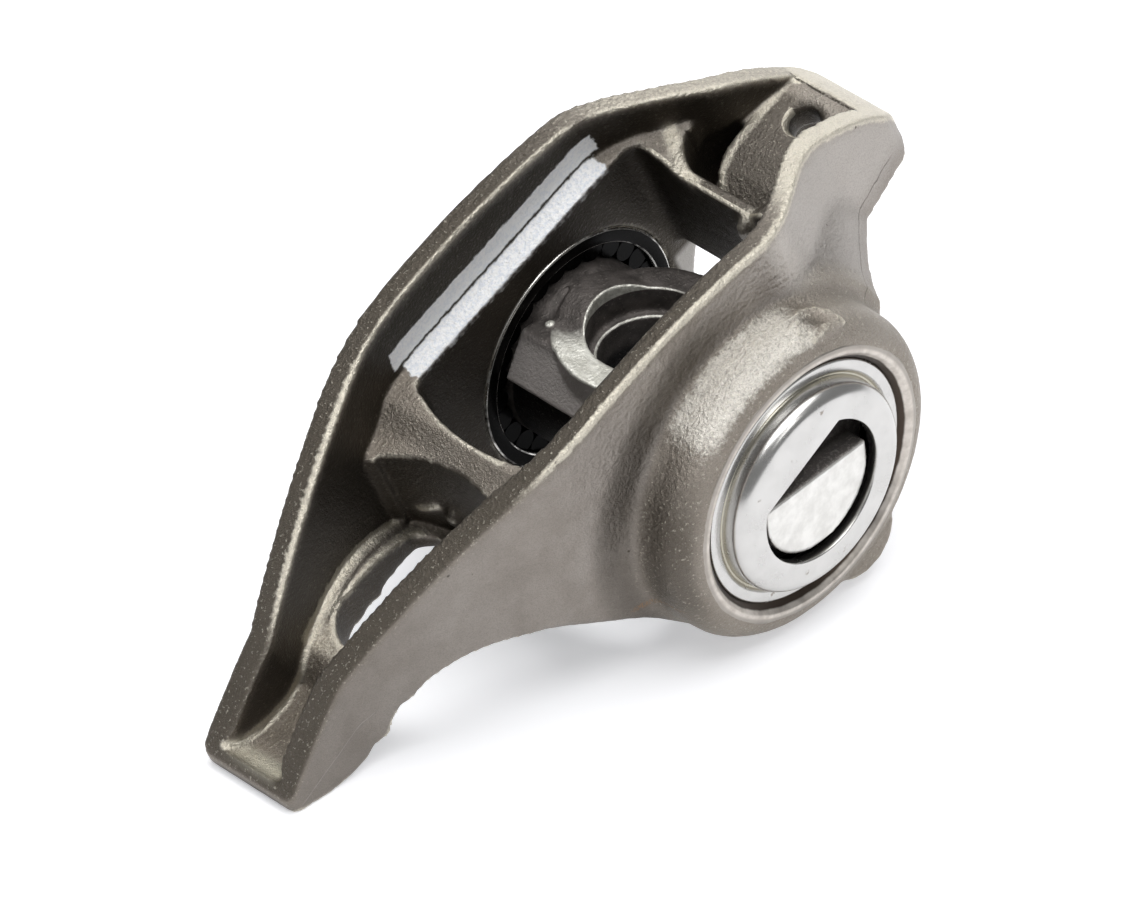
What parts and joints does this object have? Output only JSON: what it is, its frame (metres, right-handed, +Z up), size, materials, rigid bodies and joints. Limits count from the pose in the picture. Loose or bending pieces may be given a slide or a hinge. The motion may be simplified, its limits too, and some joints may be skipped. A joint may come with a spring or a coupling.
{
  "type": "rocker arm",
  "caption": "Cast engine rocker arm with a needle-bearing trunnion: a pad pushes the valve, a cup takes the pushrod and one bolt holds it down.",
  "frame": {"origin": "the middle of the trunnion's axis, where the axis of the bolt hole crosses it", "axes": "+X from the trunnion towards the pushrod cup, along the length; Y along the trunnion's axis; +Z up from the table on which the pad and the two bosses rest"},
  "size_m": [0.069, 0.0362, 0.0356],
  "materials": {
    "cast_steel": "bronze-grey investment casting, fine grain, bright worn edges",
    "bearing_steel": "drawn and polished, with fine scratches",
    "sintered_steel": "dark, grainy and oily, with a machined land",
    "needle_steel": "ground and oiled"
  },
  "bodies": {
    "arm": {"arm_body": "cast_steel", "bearing_shell_near": "bearing_steel", "bearing_shell_far": "bearing_steel"},
    "trunnion": {"trunnion": "sintered_steel"},
    "needles_near": {"needle_near_01": "needle_steel", "needle_near_02": "needle_steel", "needle_near_03": "needle_steel", "needle_near_04": "needle_steel", "needle_near_05": "needle_steel", "needle_near_06": "needle_steel", "needle_near_07": "needle_steel", "needle_near_08": "needle_steel", "needle_near_09": "needle_steel", "needle_near_10": "needle_steel", "needle_near_11": "needle_steel", "needle_near_12": "needle_steel", "needle_near_13": "needle_steel", "needle_near_14": "needle_steel", "needle_near_15": "needle_steel", "needle_near_16": "needle_steel", "needle_near_17": "needle_steel", "needle_near_18": "needle_steel", "needle_near_19": "needle_steel", "needle_near_20": "needle_steel", "needle_near_21": "needle_steel", "needle_near_22": "needle_steel", "needle_near_23": "needle_steel", "needle_near_24": "needle_steel", "needle_near_25": "needle_steel", "needle_near_26": "needle_steel"},
    "needles_far": {"needle_far_01": "needle_steel", "needle_far_02": "needle_steel", "needle_far_03": "needle_steel", "needle_far_04": "needle_steel", "needle_far_05": "needle_steel", "needle_far_06": "needle_steel", "needle_far_07": "needle_steel", "needle_far_08": "needle_steel", "needle_far_09": "needle_steel", "needle_far_10": "needle_steel", "needle_far_11": "needle_steel", "needle_far_12": "needle_steel", "needle_far_13": "needle_steel", "needle_far_14": "needle_steel", "needle_far_15": "needle_steel", "needle_far_16": "needle_steel", "needle_far_17": "needle_steel", "needle_far_18": "needle_steel", "needle_far_19": "needle_steel", "needle_far_20": "needle_steel", "needle_far_21": "needle_steel", "needle_far_22": "needle_steel", "needle_far_23": "needle_steel", "needle_far_24": "needle_steel", "needle_far_25": "needle_steel", "needle_far_26": "needle_steel"}
  },
  "joints": [
    {"name": "trunnion_turn", "type": "hinge", "parent": "arm", "child": "trunnion", "pos_m": [0, 0, 0], "axis": [0, 1, 0], "range_deg": [-57, 7]},
    {"name": "needles_near_roll", "type": "hinge", "parent": "arm", "child": "needles_near", "pos_m": [0, 0, 0], "axis": [0, 1, 0], "range_deg": [-26, 4]},
    {"name": "needles_far_roll", "type": "hinge", "parent": "arm", "child": "needles_far", "pos_m": [0, 0, 0], "axis": [0, 1, 0], "range_deg": [-26, 4]}
  ],
  "couplings": [
    {"joint": "needles_near_roll", "follows": "trunnion_turn", "ratio": 0.44118},
    {"joint": "needles_far_roll", "follows": "trunnion_turn", "ratio": 0.44118}
  ]
}
